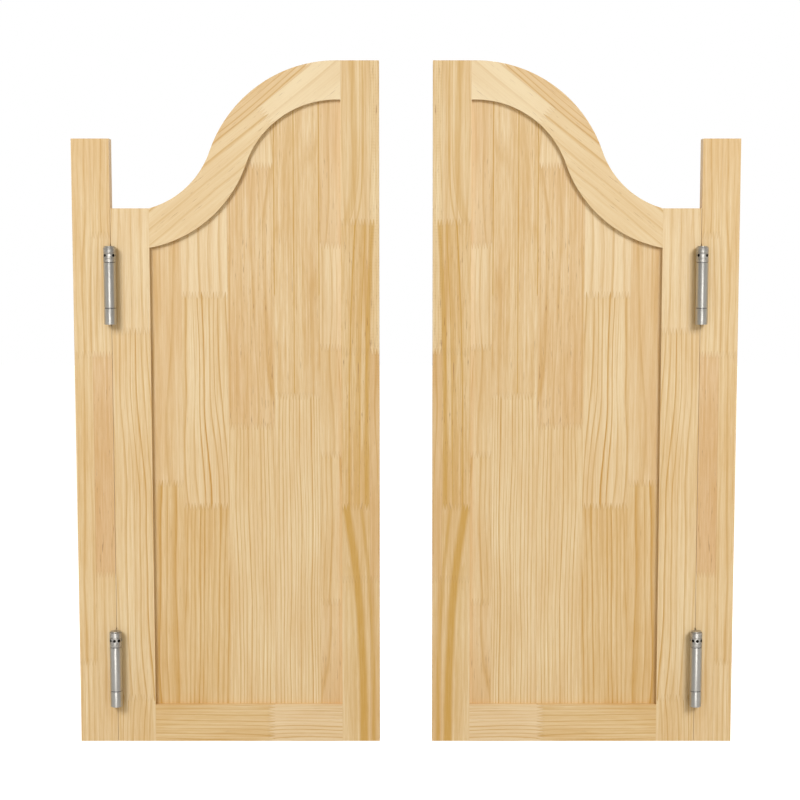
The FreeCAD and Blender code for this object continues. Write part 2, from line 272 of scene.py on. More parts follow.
def linear(red, green, blue):
    # a colour as written on screen, made linear
    return tuple((part / 255 / 12.92) if part <= 10 else ((part / 255 + 0.055) / 1.055) ** 2.4
                 for part in (red, green, blue)) + (1,)


# Pine. A board is edge-glued from strips, and a strip is finger-jointed from short lengths. Each
# length is cut from its own log, and shows that log's rings.

pine = {
    "pale": linear(238, 217, 174),
    "honey": linear(214, 176, 112),
    "pink": linear(214, 170, 124),
    "latewood": linear(196, 145, 56),
    "golden": linear(203, 158, 76),
    "resin": linear(150, 98, 52),
    "endGrain": linear(196, 152, 98),
    "fingerPitch": 3.9,
    "fingerLength": 10,
    "fingerGlue": 1.1,  # half the width of the glue line between two lengths
    "seamGlue": 0.3,  # and between two strips
    "glueShown": 0.16,
    "sawPitch": 3.9,
    "sawMark": 0.6,  # half the width of a saw's mark
    "sawShown": 0.14,
    "roughness": 0.5,
}


def log(pith, depth, ring=5, lean=(0, 0), warp=2, line=0.5, tone=0.4, pink=0.1,
        fleck=0.2, fibre=0.6, broad=0.1):
    # pith: where the log's heart lies across the board; depth: how far behind its middle;
    # ring: a year's width; lean: how the heart wanders across and in depth for each mm along
    # the grain; broad: how much of each year is latewood
    return ((pith, depth, warp), (lean[0], lean[1], ring), (line, tone, pink), (fleck, fibre, broad))


def pineFinish(name, board):
    finish = Finish(name)
    x, y, z = finish.objectPlace()
    side = finish.add("ShaderNodeMath", {"operation": "SIGN"}, {0: x})
    x = abs(x)
    slant = radians(board.get("slant", 90))
    across = x * sin(slant) + z * cos(slant)
    along = z * sin(slant) - x * cos(slant)
    seed = board["seed"]

    # which log a point lies in
    half = pine["fingerPitch"] / 2
    tooth = finish.add("ShaderNodeMath", {"operation": "PINGPONG"}, {0: across + 500, 1: half})
    fingers = tooth * (pine["fingerLength"] / half) - pine["fingerLength"] / 2
    beyondBoard = 1000
    glue = None
    columns = []
    for strip in board["strips"]:
        chosen = list(strip["logs"][0])
        for place, follower in zip(strip.get("joints", []), strip["logs"][1:]):
            reach = along + fingers - place
            below = reach < 0
            chosen = [finish.mixVector(below, first, second) for first, second in zip(chosen, follower)]
            line = abs(reach) < pine["fingerGlue"]
            within = line * (across > strip.get("from", -beyondBoard))
            within = within * (across < strip.get("to", beyondBoard))
            glue = within if glue is None else glue + within
        columns.append((strip, chosen))
    facts = columns[0][1]
    for strip, chosen in columns[1:]:
        beyond = across > strip["from"]
        facts = [finish.mixVector(beyond, first, second) for first, second in zip(facts, chosen)]
        seam = abs(across - strip["from"]) < pine["seamGlue"]
        glue = seam if glue is None else glue + seam
    pith, depth, warp = finish.split(facts[0])
    leanAcross, leanDepth, ring = finish.split(facts[1])
    line, tone, pink = finish.split(facts[2])
    fleck, fibre, broad = finish.split(facts[3])

    # distance from the log's heart, with the slow waver of a real trunk
    waver = finish.noise(finish.vector(across * 0.02 + seed, y * 0.02, along * 0.004), detail=1)
    ripple = finish.noise(finish.vector(across * 0.12, y * 0.12, along * 0.014 + seed), detail=1)
    aside = across - pith - leanAcross * along
    inward = y - depth - leanDepth * along
    radius = (aside * aside + inward * inward) ** 0.5 + (waver - 0.5) * warp * 9 + (ripple - 0.5) * 0.8
    uneven = finish.noise(finish.vector(radius / ring * 0.4, seed, 0), detail=1)
    count = radius / ring + (uneven - 0.5) * 1.8
    phase = finish.add("ShaderNodeMath", {"operation": "FRACT"}, {0: count})
    year = finish.add("ShaderNodeMath", {"operation": "FLOOR"}, {0: count})
    strength = finish.add("ShaderNodeTexWhiteNoise", {"noise_dimensions": "1D"}, {"W": year + seed * 7.3})
    width = broad * 0.6 + 0.3
    rise = finish.clamp((phase - 1 + width) / width)
    late = rise ** 1.5 * finish.clamp((1 - phase) * 12)

    # fibres, streaks and resin flecks, all drawn out along the grain
    fine = finish.noise(finish.vector(across * 0.8, y * 0.8, along * 0.03), detail=4, roughness=0.7)
    streak = finish.noise(finish.vector(across * 0.4 + seed, y * 0.4, along * 0.006),
                          detail=3, roughness=0.6)
    cloud = finish.noise(finish.vector(across * 0.03, y * 0.03, along * 0.006 + seed), detail=1)
    canal = finish.noise(finish.vector(across * 0.75 + seed, y * 0.75, along * 0.04),
                         detail=2, roughness=0.6)
    flecks = finish.clamp((canal - 0.65) * 9) * fleck
    shade = ((fine - 0.5) * 1.8 + (streak - 0.5) * 2) * fibre + (cloud - 0.5) * 0.7
    latewood = late * (strength * 1.4 + 0.6) * (fine * 0.9 + 0.55) * line
    color = finish.mixColor(finish.clamp(tone + shade), pine["pale"], pine["honey"])
    color = finish.mixColor(finish.clamp(pink + (cloud - 0.5) * 0.3), color, pine["pink"])
    color = finish.mixColor(finish.clamp(latewood), color, pine["latewood"])
    for vein in board.get("veins", []):
        # a single year that shows as a clear line or band; it bends towards its ends
        low, high = vein["run"]
        rise = finish.clamp((along - low) / (high - low))
        bend = rise ** 2.6 * vein.get("bend", 0) + (1 - rise) ** 6 * vein.get("foot", 0)
        offset = across - bend - vein["place"] - (ripple - 0.5)
        band = finish.clamp((1 - abs(offset) / vein["half"]) * vein.get("crisp", 1.6))
        within = (along + fingers > low) * (along + fingers < high)
        share = finish.clamp(band * within * (fine + 0.5) * vein["level"])
        color = finish.mixColor(share, color, pine["golden"])
    color = finish.mixColor(flecks, color, pine["resin"])
    if "sawn" in board:
        # faint marks of the saw across the grain, where the strip was planed least
        tick = finish.add("ShaderNodeMath", {"operation": "PINGPONG"},
                          {0: along + (canal - 0.5) * 2, 1: pine["sawPitch"] / 2})
        patch = finish.clamp((cloud - 0.42) * 6) * (across < board["sawn"]["to"])
        patch = patch * (along > board["sawn"]["above"])
        share = (tick < pine["sawMark"]) * patch * finish.clamp((fine - 0.45) * 5) * pine["sawShown"]
        color = finish.mixColor(share, color, pine["resin"])
    if glue is not None:
        color = finish.mixColor(finish.clamp(glue) * pine["glueShown"], color, pine["resin"])

    # where the fibres are cut across, the wood is darker
    facing = finish.split(finish.add("ShaderNodeTexCoord", output="Normal"))
    cut = abs(facing[2] * sin(slant) - facing[0] * side * cos(slant))
    color = finish.mixColor(finish.clamp(cut * 1.5 - 0.6) * 0.45, color, pine["endGrain"])
    finish.set(Base_Color=color, Roughness=pine["roughness"] + (fine - 0.5) * 0.16 - latewood * 0.06,
               Normal=finish.bump(latewood * 0.5 + fine * 0.5, 0.00005, 0.6), IOR=1.45)
    return finish.material


# the grain of each board, from its middle outwards; joints and logs run from the top down
grain = {
    "jamb_strip": {
        "seed": 3.1,
        "strips": [
            {"to": 411.5, "joints": [675, 519, 227],
             "logs": [log(470, 60, 6, line=0.55, tone=0.62, warp=1.5),
                      log(330, 30, 7, line=0.5, tone=0.5, warp=2),
                      log(380, 200, 4, line=0.35, tone=0.7, pink=0.45, fleck=0.9, fibre=1.1),
                      log(480, 80, 8, line=0.4, tone=0.52)]},
            {"from": 411.5, "joints": [519, 108],
             "logs": [log(360, 40, 6, line=0.6, tone=0.6, warp=2),
                      log(520, 60, 7, line=0.5, tone=0.6, warp=2),
                      log(350, 50, 5, line=0.7, tone=0.45, warp=1)]},
        ],
    },
    "hinge_stile": {
        "seed": 7.7,
        "strips": [
            {"joints": [550, 59],
             "logs": [log(260, 90, 7, line=0.4, tone=0.3, warp=1.5),
                      log(410, 60, 6, lean=(0.03, 0), line=0.7, tone=0.48, warp=2.2),
                      log(300, 40, 6, lean=(-0.06, 0), line=0.8, tone=0.56, warp=3)]},
        ],
    },
    "meeting_stile": {
        "seed": 12.4,
        "sawn": {"to": 47.5, "above": 455},
        "veins": [
            {"run": (-10, 317), "place": 56, "bend": 23, "half": 7.4, "level": 0.9, "crisp": 1.7},
            {"run": (-10, 317), "place": 42.5, "bend": 17, "half": 3.4, "level": 0.6, "crisp": 1.6},
            {"run": (-10, 240), "place": 67, "bend": 9, "half": 3.5, "level": 0.25},
            {"run": (317, 692), "place": 75.2, "bend": -9, "half": 1.4, "level": 0.9},
            {"run": (317, 692), "place": 61.5, "bend": -9, "half": 1.1, "level": 0.7},
            {"run": (317, 692), "place": 52, "bend": -8, "half": 4.4, "level": 0.75},
            {"run": (317, 692), "place": 65, "bend": -8, "half": 4, "level": 0.28},
            {"run": (692, 910), "place": 66, "bend": 5, "foot": 12, "half": 6, "level": 0.4},
            {"run": (692, 910), "place": 55.5, "bend": 1, "foot": 9, "half": 1.5, "level": 0.5},
            {"run": (692, 910), "place": 60, "foot": 14, "half": 1, "level": 0.35},
        ],
        "strips": [
            {"joints": [523, 220],
             "logs": [log(120, 40, 6, line=0.35, tone=0.36, fleck=0.9, pink=0),
                      log(-10, 60, 7, line=0.45, tone=0.8, pink=0.3, fleck=0.5),
                      log(-20, 40, 6, line=0.4, tone=0.75, pink=0.15)]},
            {"from": 47.5, "joints": [692, 317],
             "logs": [log(30, 26, 12, lean=(0.02, -0.05), line=0.3, tone=0.43, warp=2, broad=0.3),
                      log(200, 40, 7, line=0.35, tone=0.78, fleck=0.9, warp=0.8, fibre=0.9),
                      log(-60, 25, 14, lean=(0.05, 0.03), line=0.1, tone=0.66, warp=2, broad=0.5)]},
        ],
    },
    "bottom_rail": {
        "seed": 16.2,
        "slant": 0,
        "strips": [
            {"joints": [-180],
             "logs": [log(70, 30, 5, line=0.7, tone=0.34, pink=0.2, warp=2),
                      log(-30, 50, 4.5, line=0.6, tone=0.78, warp=1.6)]},
        ],
    },
    "top_rail": {
        "seed": 21.9,
        "slant": 38.8,
        "strips": [
            {"to": 774, "joints": [378],
             "logs": [log(640, 160, 13, line=0.2, tone=0.1, pink=0.05, warp=1, broad=0,
                          fleck=0.4, fibre=0.3),
                      log(600, 120, 13, line=0.5, tone=0.36, pink=0.05, warp=1, broad=0,
                          fleck=0.8, fibre=0.3)]},
            {"from": 774, "joints": [462],
             "logs": [log(900, 160, 9, line=0.2, tone=0.12, pink=0.05, warp=1, broad=0, fibre=0.3),
                      log(860, 60, 5, line=0.95, tone=0.5, pink=0.15, fleck=0.5, warp=1.2, fibre=0.4)]},
        ],
    },
    "panel_stave_1": {
        "seed": 25.3,
        "strips": [
            {"joints": [662, 528, 386, 188],
             "logs": [log(140, 60, 5, line=0.3, tone=0.46, pink=0.25, fleck=0.7),
                      log(60, 30, 7, line=0.5, tone=0.2, warp=2),
                      log(150, 60, 8, line=0.45, tone=0.5),
                      log(40, 40, 7, line=0.6, tone=0.58, warp=2.5),
                      log(130, 90, 5, line=0.45, tone=0.6, pink=0.25, fleck=0.6)]},
        ],
    },
    "panel_stave_2": {
        "seed": 30.8,
        "veins": [
            {"run": (464, 910), "place": 147, "half": 0.9, "level": 0.8, "crisp": 3},
            {"run": (600, 910), "place": 114, "half": 0.9, "level": 0.8, "crisp": 3},
            {"run": (600, 910), "place": 172.6, "half": 0.9, "level": 0.8, "crisp": 3},
        ],
        "strips": [
            {"joints": [464],
             "logs": [log(140, 220, 9, line=0.25, tone=0.5, pink=0.15, fibre=0.9, fleck=0.4),
                      log(260, 60, 3.9, line=0.8, tone=0.4, warp=1)]},
        ],
    },
    "panel_stave_3": {
        "seed": 36.5,
        "strips": [
            {"joints": [765, 424],
             "logs": [log(280, 60, 6, line=0.4, tone=0.3),
                      log(170, 60, 6, line=0.5, tone=0.6, pink=0.25, fleck=0.9, warp=1.5, fibre=0.9),
                      log(300, 80, 4.2, line=0.8, tone=0.46, warp=1)]},
        ],
    },
    "panel_stave_4": {
        "seed": 41.7,
        "strips": [
            {"joints": [597, 317],
             "logs": [log(200, 70, 8, line=0.45, tone=0.14, pink=0.1),
                      log(340, 60, 6.5, lean=(0.03, 0), line=0.95, tone=0.39, warp=2.6),
                      log(190, 40, 6, lean=(-0.03, 0), line=0.65, tone=0.72, warp=2, broad=0.4)]},
        ],
    },
    "panel_stave_5": {
        "seed": 47.2,
        "strips": [
            {"joints": [348],
             "logs": [log(270, 90, 8, line=0.4, tone=0.6, pink=0.2, warp=2.5),
                      log(360, 50, 8, line=0.75, tone=0.74, warp=1.6, broad=0.5)]},
        ],
    },
}
print("pine finishes")
pineFinishes = {name: pineFinish(f"pine {name.replace('_', ' ')}", board) for name, board in grain.items()}

# the sizes that the pieces of a hinge share, in mm; heights are from its foot
hinge = {
    "seam": 385.6,  # the seam that the barrels stand at, from the middle of the doorway
    "feet": (50, 559),
    "axis": 17.25,  # from the middle of the boards to the axis of a barrel
    "radius": 8,
    "bore": 6.5,
    "footTop": 21,
    "tube": (21.9, 80.4),
    "head": (81, 93),
    "cap": (93.15, 102),
    "edge": 0.45,
}

ease = {"board": 0.12, "stave": 0.1}
seamEdge = {
    "towards": {"jamb_strip": -1, "hinge_stile": 1},  # the way to the seam, for the right side
    "proud": 0.4,
    "recess": 2,  # clearance above and below a hinge
    "slope": 1,
}


def closeSeam(shape, side, name):
    # beyond the shallow recesses for the hinges, the two edges at the seam stand closer together
    faces = [abs(corner.x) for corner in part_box(f"{side}_{name}")]
    edge = max(faces) if name == "hinge_stile" else min(faces)
    recess, slope = seamEdge["recess"], seamEdge["slope"]
    clear = []
    for foot in hinge["feet"]:
        low, high = foot - recess, foot + hinge["cap"][1] + recess
        clear.append((low - slope / 2, high + slope / 2))
        for height in (low - slope, low, high, high + slope):
            everything = shape.verts[:] + shape.edges[:] + shape.faces[:]
            bmesh.ops.bisect_plane(shape, geom=everything, dist=1e-7, plane_co=(0, 0, height * mm),
                                   plane_no=(0, 0, 1))
    moved = [corner for corner in shape.verts if abs(abs(corner.co.x) - edge) < 2e-6
             and not any(low < corner.co.z / mm < high for low, high in clear)]
    step = sides[side] * seamEdge["towards"][name] * seamEdge["proud"] * mm
    bmesh.ops.translate(shape, vec=(step, 0, 0), verts=moved)


def boardPiece(side, name):
    # the board of the frame with its arrises eased
    node = f"{side}_{name}"
    shape = bmesh.new()
    shape.from_mesh(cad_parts[node].data)
    bmesh.ops.remove_doubles(shape, verts=shape.verts, dist=2e-6)
    bmesh.ops.dissolve_limit(shape, angle_limit=radians(1), verts=shape.verts, edges=shape.edges)
    if name in seamEdge["towards"]:
        closeSeam(shape, side, name)
    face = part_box(node)[1].y
    rim = [edge for edge in shape.edges
           if edge.is_manifold and edge.calc_face_angle() > radians(40)
           and all(abs(abs(corner.co.y) - face) < 2e-6 for corner in edge.verts)]
    easeEdges(shape, rim, ease["stave" if "stave" in name else "board"] * mm)
    body = "frame" if name == "jamb_strip" else f"{side}_door"
    finishPiece(f"{node}_eased", shape, body, pineFinishes[name], [node], smoothBelow=12)


for side in sides:
    for name in grain:
        boardPiece(side, name)
print("boards")


# Hinges

socket = {
    "count": 8,
    "radius": 2.05,
    "height": 89.9,
    "depth": 2.8,
    "past": 2,  # how far the cutter stands out of the head
    "wound": {50: 2.6, 559: -4.4},  # degrees that the heads of each hinge are turned
    "shadeBelow": 0.7,  # the painted shade in the sockets starts this far below the head's skin
}


def steelFinish(name, color, roughness, streaks, drawn=0, rough=0, sockets=False):
    # brushed steel: fine lines, softly clouded; drawn stretches the highlights along a barrel;
    # rough adds the pitted skin of the heads; sockets adds painted shade, dark inside each socket
    finish = Finish(name)
    x, y, z = finish.objectPlace()
    lines = finish.noise(finish.vector(x * 9, y * 9, z * streaks), detail=2)
    cloud = finish.noise(finish.vector(x * 0.5, y * 0.5, z * 0.25), detail=2)
    tone = (lines - 0.5) * 0.6 + (cloud - 0.5) * 0.7 + 0.5
    grooves = lines
    if rough:
        pits = finish.noise(finish.vector(x * 0.75, y * 0.75, z * 0.6), detail=3, roughness=0.7)
        tone = tone + (pits - 0.5) * 5 * rough
        grooves = lines * (1 - rough) + pits * 6 * rough
    darker = tuple(part * (0.72 - rough * 0.25) for part in color[:3]) + (1,)
    shown = finish.mixColor(finish.clamp(tone), darker, color)
    if sockets:
        # painted shade: the walls inside each socket are painted dark, as the shade in the hole
        fromAxis = ((abs(x) - hinge["seam"]) ** 2 + (abs(y) - hinge["axis"]) ** 2) ** 0.5
        low, high = hinge["feet"]
        height = z - low - (z > (low + high) / 2) * (high - low) - socket["height"]
        inside = fromAxis < hinge["radius"] - socket["shadeBelow"]
        inside = inside * (abs(height) < socket["radius"] + 0.1)
        shown = finish.mixColor(inside, shown, linear(38, 34, 30))
    finish.set(Base_Color=shown, Metallic=1.0,
               Roughness=roughness + (lines - 0.5) * 0.16 + (cloud - 0.5) * 0.1,
               Normal=finish.bump(grooves, 0.00003, 0.35), Anisotropic=drawn, Anisotropic_Rotation=0.25)
    return finish.material


satinSteel = steelFinish("satin hinge steel", linear(216, 213, 205), 0.48, 0.25, drawn=0.7)
castSteel = steelFinish("turned hinge steel", linear(212, 208, 200), 0.46, 9, rough=0.6, sockets=True)
springSteel = steelFinish("oiled spring steel", linear(120, 119, 120), 0.35, 2)


def barrelCentre(sign, barrel, foot):
    # barrel is -1 for the front one and 1 for the back one
    return Vector((sign * hinge["seam"] * mm, barrel * hinge["axis"] * mm, foot * mm))


def lowerCorner(radius, height, edge):
    return [(radius - edge, height), (radius - edge * 0.3, height + edge * 0.3), (radius, height + edge)]


def upperCorner(radius, height, edge):
    return [(radius, height - edge), (radius - edge * 0.3, height - edge * 0.3), (radius - edge, height)]


plate = {
    "faces": (0.6, 2.1),  # from the seam
    "reach": 6,
    "ease": 0.15,
    "holes": (36, 66),  # heights
    "holeRadius": 3.4,
    "across": -1.3,  # the holes' place across the boards
}


def countersunkPlate(sign, barrel, foot):
    # the plate in a board's edge, with two countersunk holes
    out = sign * -barrel
    seam = sign * hinge["seam"]
    near, far = (seam + out * face for face in plate["faces"])
    inner = -hinge["axis"] + (hinge["radius"] + hinge["bore"]) / 2
    rows = sorted((barrel * -inner, -barrel * plate["reach"]))
    low = (min(near, far) * mm, rows[0] * mm, (foot + hinge["tube"][0]) * mm)
    high = (max(near, far) * mm, rows[1] * mm, (foot + hinge["tube"][1]) * mm)
    blank = block(low, high, plate["ease"] * mm)
    cutters = []
    for place in plate["holes"]:
        middle = Vector((0, -barrel * plate["across"], foot + place)) * mm
        start = middle + Vector(((near - out * 0.2) * mm, 0, 0))
        end = middle + Vector(((far + out * 0.2) * mm, 0, 0))
        cutters.append(rod(plate["holeRadius"] * mm, start, end, 32))
    return cutAway(blank, cutters)


def flangePieces(side, sign):
    # tube and plate of each flange: the front barrel's on the jamb strip, the back barrel's on the leaf
    for label, barrel, body in (("jamb", -1, "frame"), ("door", 1, f"{side}_door")):
        shapes, screws = [], []
        low, high = hinge["tube"]
        outer, bore, edge = hinge["radius"], hinge["bore"], hinge["edge"]
        for foot in hinge["feet"]:
            wall = [(bore, low)] + lowerCorner(outer, low, edge) + upperCorner(outer, high, edge)
            wall.append((bore, high))
            shapes.append(ringTurned(wall, barrelCentre(sign, barrel, foot)))
            shapes.append(countersunkPlate(sign, barrel, foot))
            screws += screwShapes(sign, barrel, foot)
        finishPiece(f"{side}_{label}_flange_barrels", joinShapes(shapes), body, satinSteel,
                    [f"{side}_{label}_flanges"])
        finishPiece(f"{side}_{label}_flange_screws", joinShapes(screws), body, castSteel)


screw = {
    "neck": 1.7,
    "head": 3.2,
    "cone": 1.35,
    "height": 1.45,
    "recess": 1.7,  # half the length of the cross
    "recessHalf": 0.4,
    "recessBottom": 0.9,
    "recessTop": 2,
    "turn": 0.4,
}


def screwShapes(sign, barrel, foot):
    # countersunk heads with a cross recess, flush with the plate
    out = sign * -barrel
    shapes = []
    for place in plate["holes"]:
        neck, radius, height = screw["neck"], screw["head"], screw["height"]
        profile = [(0, 0), (neck, 0), (radius, screw["cone"]), (radius, height), (0, height)]
        head = turned(profile, (0, 0, 0), 32)
        long, narrow = screw["recess"], screw["recessHalf"]
        for halfX, halfY in ((long, narrow), (narrow, long)):
            low = Vector((-halfX, -halfY, screw["recessBottom"])) * mm
            high = Vector((halfX, halfY, screw["recessTop"])) * mm
            head = cutAway(head, [block(low, high)])
        turn = Vector((-out, 0, 0)).to_track_quat("Z", "Y").to_matrix()
        turn = turn @ Matrix.Rotation(screw["turn"] + place, 3, "Z")
        bmesh.ops.rotate(head, cent=(0, 0, 0), matrix=turn, verts=head.verts)
        seat = sign * hinge["seam"] + out * plate["faces"][1]
        bmesh.ops.translate(head, vec=Vector((seat, -barrel * plate["across"], foot + place)) * mm,
                            verts=head.verts)
        shapes.append(head)
    return shapes


web = {
    "thickness": 0.8,
    "clear": 8.3,  # how far the upper part stays from the barrels' axes
    "ends": 0.3,
    "upperFrom": 1,
    "ease": 0.2,
    "sole": ((1.6, 0.15), (1.3, 0), (1.0, 0), (0.3, 0.3), (0, 1.0)),  # inset and height of its corners
}


def webPiece(side, sign):
    # the plate between the barrels, and the knuckle at the foot of each
    shapes = []
    outer, top, axis = hinge["radius"], hinge["footTop"], hinge["axis"]
    half, ends, clear = web["thickness"] / 2, web["ends"], axis - web["clear"]
    seam = sign * hinge["seam"]
    for foot in hinge["feet"]:
        shapes.append(block(((seam - half) * mm, -axis * mm, (foot + ends) * mm),
                            ((seam + half) * mm, axis * mm, (foot + top - ends) * mm)))
        shapes.append(block(((seam - half) * mm, -clear * mm, (foot + web["upperFrom"]) * mm),
                            ((seam + half) * mm, clear * mm, (foot + hinge["head"][1]) * mm),
                            web["ease"] * mm))
        for barrel in (-1, 1):
            profile = [(0, web["sole"][0][1])]
            profile += [(outer - inset, height) for inset, height in web["sole"]]
            profile += upperCorner(outer, top, hinge["edge"]) + [(0, top)]
            shapes.append(turned(profile, barrelCentre(sign, barrel, foot)))
    finishPiece(f"{side}_web_knuckles", joinShapes(shapes), f"{side}_webs", satinSteel,
                [f"{side}_webs"])


def socketPlace(turn, reach):
    # a point of a socket's axis, from the foot of the barrel
    return Vector((cos(turn) * reach, sin(turn) * reach, socket["height"])) * mm


spindle = {
    "rod": 4.6,
    "edge": 0.5,
    "groove": ((0, 85.2), (0.35, 85.5), (0.35, 85.8), (0, 86.1)),  # inset and height of its corners
}


def spindlePiece(side, sign):
    # the winding rod inside each spring, its head a crown of round sockets
    shapes = []
    low, high = hinge["head"]
    outer, footTop, edge = hinge["radius"], hinge["footTop"], spindle["edge"]
    profile = [(0, footTop), (spindle["rod"], footTop), (spindle["rod"], low)]
    profile += lowerCorner(outer, low, edge)
    profile += [(outer - inset, height) for inset, height in spindle["groove"]]
    profile += upperCorner(outer, high, edge) + [(0, high)]
    for foot in hinge["feet"]:
        for barrel in (-1, 1):
            cutters = []
            for number in range(socket["count"]):
                turn = 2 * pi * number / socket["count"] + radians(sign * socket["wound"][foot])
                cutters.append(rod(socket["radius"] * mm, socketPlace(turn, outer - socket["depth"]),
                                   socketPlace(turn, outer + socket["past"])))
            head = cutAway(turned(profile, (0, 0, 0)), cutters)
            bmesh.ops.translate(head, vec=barrelCentre(sign, barrel, foot), verts=head.verts)
            shapes.append(head)
    finishPiece(f"{side}_socket_heads", joinShapes(shapes), f"{side}_webs", castSteel,
                [f"{side}_tension_spindles"])


pin = {"reach": (5.3, 7.85), "radius": 1.9}


def pinPiece(side, sign):
    # the tension pin that stops each head, flush in one of its sockets
    shapes = []
    low, high = pin["reach"]
    upper = hinge["feet"][1]
    for foot in hinge["feet"]:
        for barrel in (-1, 1):
            turn = barrel * pi / 2 if foot == upper else (1 - sign) * pi / 2
            turn += radians(sign * socket["wound"][foot])
            shape = rod(pin["radius"] * mm, socketPlace(turn, low), socketPlace(turn, high))
            bmesh.ops.translate(shape, vec=barrelCentre(sign, barrel, foot), verts=shape.verts)
            shapes.append(shape)
    finishPiece(f"{side}_tension_pins", joinShapes(shapes), f"{side}_webs", castSteel)


# corners are given as their inset and their distance from the top
cap = {
    "edge": 0.4,
    "rim": 1.5,
    "rimRound": ((0, 0.7), (0.2, 0.25), (0.6, 0)),
    "neck": 5.7,
    "disc": 6.9,
    "discHeight": 0.8,
    "discRound": ((0, 0.35), (0.12, 0.1), (0.4, 0)),
}


def capPiece(side, sign):
    # a cap with a groove below the thin disc of its top
    shapes = []
    low, high = hinge["cap"]
    outer, disc, neck, edge = hinge["radius"], cap["disc"], cap["neck"], cap["edge"]
    rim, under = high - cap["rim"], high - cap["discHeight"]
    profile = [(0, low), (outer - edge, low), (outer, low + edge)]
    profile += [(outer - inset, rim - drop) for inset, drop in cap["rimRound"]]
    profile += [(neck, rim), (neck, under), (disc, under)]
    profile += [(disc - inset, high - drop) for inset, drop in cap["discRound"]] + [(0, high)]
    for foot in hinge["feet"]:
        for barrel in (-1, 1):
            shapes.append(turned(profile, barrelCentre(sign, barrel, foot)))
    finishPiece(f"{side}_cap_buttons", joinShapes(shapes), f"{side}_webs", castSteel,
                [f"{side}_barrel_caps"])


washer = {"radii": (4.8, 7.2), "slack": 0.1}


def washerPiece(side, sign):
    # thrust washers above and below each tube
    shapes = []
    inner, outer = washer["radii"]
    slack = washer["slack"]
    for foot in hinge["feet"]:
        for barrel in (-1, 1):
            for low, high in ((hinge["footTop"] + slack, hinge["tube"][0] - slack),
                              (hinge["tube"][1] + slack, hinge["head"][0] - slack)):
                ring = [(inner, low), (outer, low), (outer, high), (inner, high)]
                shapes.append(ringTurned(ring, barrelCentre(sign, barrel, foot), 48))
    finishPiece(f"{side}_thrust_washers", joinShapes(shapes), f"{side}_webs", springSteel)


spring = {
    "wire": 1.7,
    "outside": 6.4,  # the outer radius of the coils
    "turns": 33.5,
    "pitch": 1.72,
    "start": 0.3,
    "stepsInTurn": 24,
}


def springPieces(side, sign):
    # close-wound coils between spindle and tube
    turns, wire = spring["turns"], spring["wire"] / 2
    steps = int(turns * spring["stepsInTurn"])
    start = Vector((spring["outside"] - wire, 0, hinge["tube"][0] + spring["start"] + wire)) * mm
    climb = (0, 0, spring["pitch"] * turns / steps * mm)
    for label, barrel, body in (("jamb", -1, "frame"), ("door", 1, f"{side}_door")):
        shapes = []
        for foot in hinge["feet"]:
            coil = bmesh.new()
            ring = bmesh.ops.create_circle(coil, cap_ends=False, segments=8, radius=wire * mm)["verts"]
            bmesh.ops.rotate(coil, cent=(0, 0, 0), matrix=Matrix.Rotation(pi / 2, 3, "X"), verts=ring)
            bmesh.ops.translate(coil, vec=start, verts=ring)
            bmesh.ops.holes_fill(coil, edges=coil.edges, sides=0)
            bmesh.ops.spin(coil, geom=list(coil.faces), cent=(0, 0, 0), axis=(0, 0, 1), dvec=climb,
                           angle=2 * pi * turns, steps=steps)
            bmesh.ops.recalc_face_normals(coil, faces=coil.faces)
            bmesh.ops.translate(coil, vec=barrelCentre(sign, barrel, foot), verts=coil.verts)
            shapes.append(coil)
        finishPiece(f"{side}_{label}_coils", joinShapes(shapes), body, springSteel,
                    [f"{side}_{label}_springs"], smoothBelow=60)


for side, sign in sides.items():
    flangePieces(side, sign)
    webPiece(side, sign)
    spindlePiece(side, sign)
    pinPiece(side, sign)
    capPiece(side, sign)
    washerPiece(side, sign)
    springPieces(side, sign)
print("hinges")


# Studio

studio = {
    "floor": -0.45,
    "floorSize": 14,
    "whiteFrom": 2000,  # mm; from here outwards the floor fades to the white of the background
    "whiteOver": 3000,
    "ambient": (0.6, 0.53, 0.4),
    "room": 0.42,  # the grey that steel mirrors
    "flag": (0.86, 0.12, 0.6),  # a darker band at each side of the room: its place, half width, depth
    "leafMiddle": (0.22, 0, 0.45),
    "key": 127,
    "keyPlace": (1.9, -3.3, 2.7),
    "keySize": (1.6, 1.6),
    "keyColor": (0.95, 1, 1.15),
    "back": 78,
    "backPlace": (0, 3.4, 2.2),
    "backAim": (0, 0, 0.4),
    "hingeHeight": 0.35,
    "hingeAway": 2.5,
    "strip": 25,
    "stripAngle": 2,
    "stripSize": (0.75, 1.5),
    "glow": 3,
    "glowAngle": 58,
    "glowSize": (0.9, 1.5),
}


def studioFloor():
    shape = bmesh.new()
    bmesh.ops.create_grid(shape, x_segments=1, y_segments=1, size=studio["floorSize"])
    bmesh.ops.translate(shape, vec=(0, 0, studio["floor"]), verts=shape.verts)
    mesh = bpy.data.meshes.new("studio_floor")
    shape.to_mesh(mesh)
    shape.free()
    floor = bpy.data.objects.new("studio_floor", mesh)
    scene.collection.objects.link(floor)
    finish = Finish("studio floor")
    seen = finish.add("ShaderNodeLightPath", output="Is Camera Ray")
    x, y, z = finish.objectPlace()
    reach = (x * x + y * y) ** 0.5
    far = finish.clamp((reach - studio["whiteFrom"]) / studio["whiteOver"])
    glow = finish.mixColor(far, (0.12, 0.12, 0.12, 1), (0.6, 0.6, 0.6, 1))
    finish.set(Base_Color=finish.mixColor(seen, (0.4, 0.4, 0.4, 1), linear(246, 246, 246)), Roughness=0.9,
               Emission_Color=finish.mixColor(seen, (0, 0, 0, 1), glow), Emission_Strength=1)
    mesh.materials.append(finish.material)
    return floor


